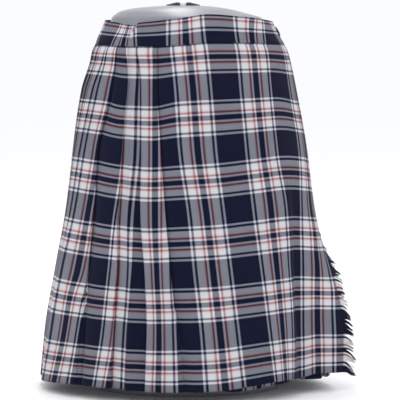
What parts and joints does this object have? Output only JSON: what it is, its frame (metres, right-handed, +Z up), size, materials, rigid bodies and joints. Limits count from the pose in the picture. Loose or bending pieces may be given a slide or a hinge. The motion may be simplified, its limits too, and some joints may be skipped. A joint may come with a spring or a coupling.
{
  "type": "wrap skirt on a limbless hip form",
  "caption": "Knee-length tartan wrap skirt with soft pleats, a flat over-apron with a self-fringed edge and a plain waistband, worn on a smooth hip form.",
  "frame": {"origin": "centre of the hip form's flat base, on the surface it stands on", "axes": "+Z up along the form, the front of the skirt faces -Y, the over-apron's fringed free edge is at +X"},
  "size_m": [0.5193, 0.3532, 0.6374],
  "materials": {
    "tartan": "wool-look twill tartan, navy and off-white with fine red lines",
    "fringe": "loose weft threads",
    "form": "smooth pale grey moulded plastic, satin",
    "cap": "dark grey moulded plastic",
    "boss": "white moulded plastic",
    "button": "navy moulded plastic"
  },
  "bodies": {
    "root": {"hip_form": "form", "form_cap": "cap", "form_boss": "boss", "pleated_panel": "tartan", "over_apron": "tartan", "under_apron": "tartan", "waistband": "tartan", "apron_fringe": "fringe", "waist_button": "button"}
  },
  "joints": []
}
